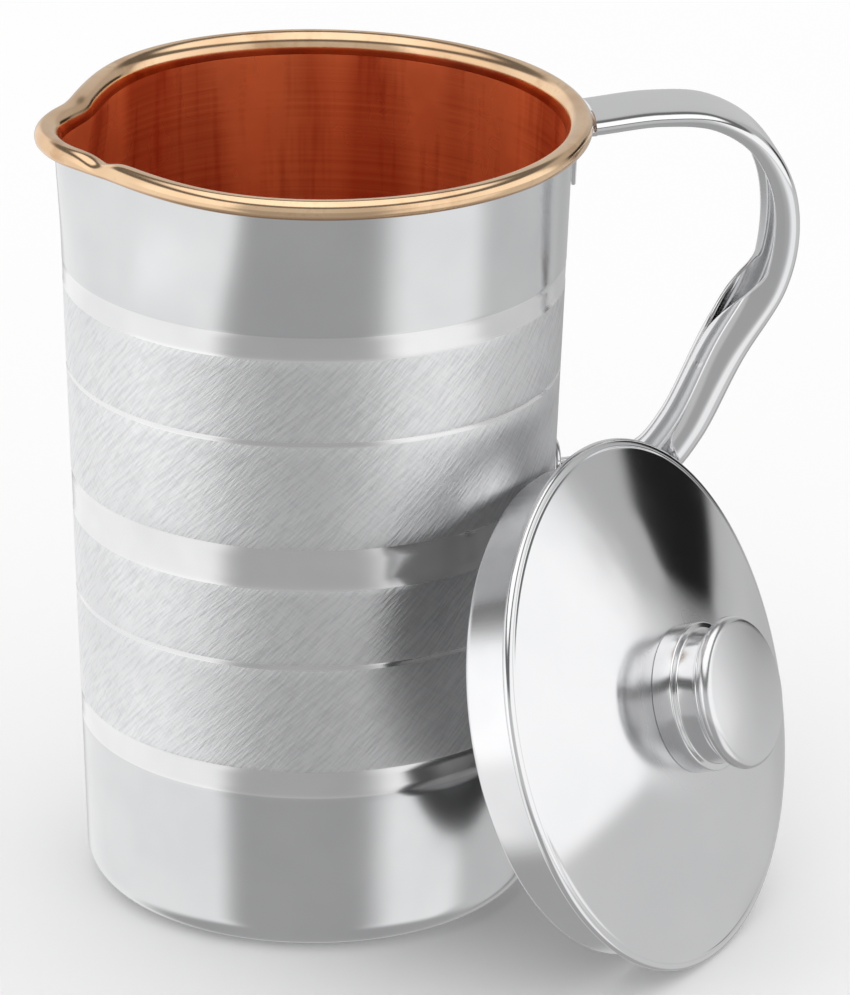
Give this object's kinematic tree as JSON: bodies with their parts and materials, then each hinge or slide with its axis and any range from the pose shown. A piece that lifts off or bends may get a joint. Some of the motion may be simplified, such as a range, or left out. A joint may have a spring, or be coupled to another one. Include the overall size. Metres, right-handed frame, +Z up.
{
  "type": "lidded water jug",
  "caption": "Stainless steel water jug with a copper lining, a rolled rim with a pour lip, a pressed hollow handle and a knobbed lid that lifts off.",
  "frame": {"origin": "centre of the jug's flat base, on the jug's axis", "axes": "+Z up the jug's axis, +X towards the handle, -X towards the pour lip"},
  "size_m": [0.1744, 0.1644, 0.1831],
  "materials": {
    "satin_steel": "brushed, with polished bands",
    "polished_steel": "mirror polished stainless steel",
    "copper": "polished copper, lightly brushed inside",
    "fastener_steel": "plain"
  },
  "bodies": {
    "jug": {"outer_shell": "satin_steel", "copper_lining": "copper", "handle": "polished_steel", "handle_upper_tab": "polished_steel", "handle_lower_pad": "polished_steel"},
    "lid": {"lid_dome": "polished_steel", "lid_collar": "satin_steel", "knob_drum": "polished_steel", "knob_cap": "polished_steel", "knob_washer": "fastener_steel", "knob_screw": "fastener_steel"}
  },
  "joints": [
    {"name": "lid_lift_away", "type": "slide", "parent": "jug", "child": "lid", "axis": [0.7524, -0.5773, 0.3173], "range_m": [0, 0.12]}
  ]
}
